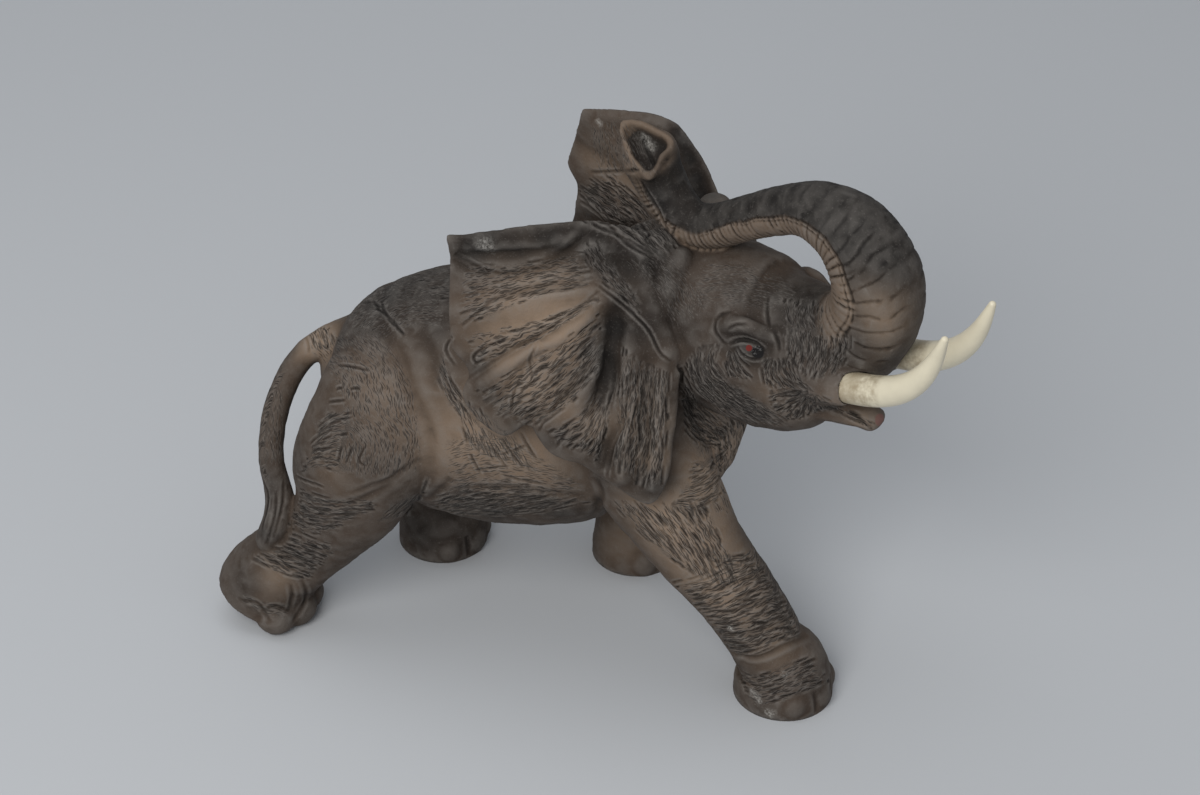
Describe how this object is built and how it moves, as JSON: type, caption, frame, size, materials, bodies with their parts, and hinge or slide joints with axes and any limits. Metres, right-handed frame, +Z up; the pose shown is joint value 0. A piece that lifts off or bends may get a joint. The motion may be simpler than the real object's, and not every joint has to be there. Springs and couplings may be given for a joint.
{
  "type": "bisque elephant figurine",
  "caption": "Figurine of a striding elephant in unglazed brown-grey bisque, head turned, trunk thrown back over the forehead, ivory-coloured tusks.",
  "frame": {"origin": "on the ground, under the middle of the figure's box", "axes": "+X the way the elephant strides, +Y to its left, +Z up"},
  "size_m": [0.242, 0.1092, 0.1892],
  "materials": {
    "bisque": "matte unglazed bisque, brown-grey, airbrushed dark grey, dark wash in the carved grooves",
    "ivory_glaze": "smooth satin ivory glaze"
  },
  "bodies": {
    "root": {"elephant": "bisque", "tusk_right": "ivory_glaze", "tusk_left": "ivory_glaze"}
  },
  "joints": []
}
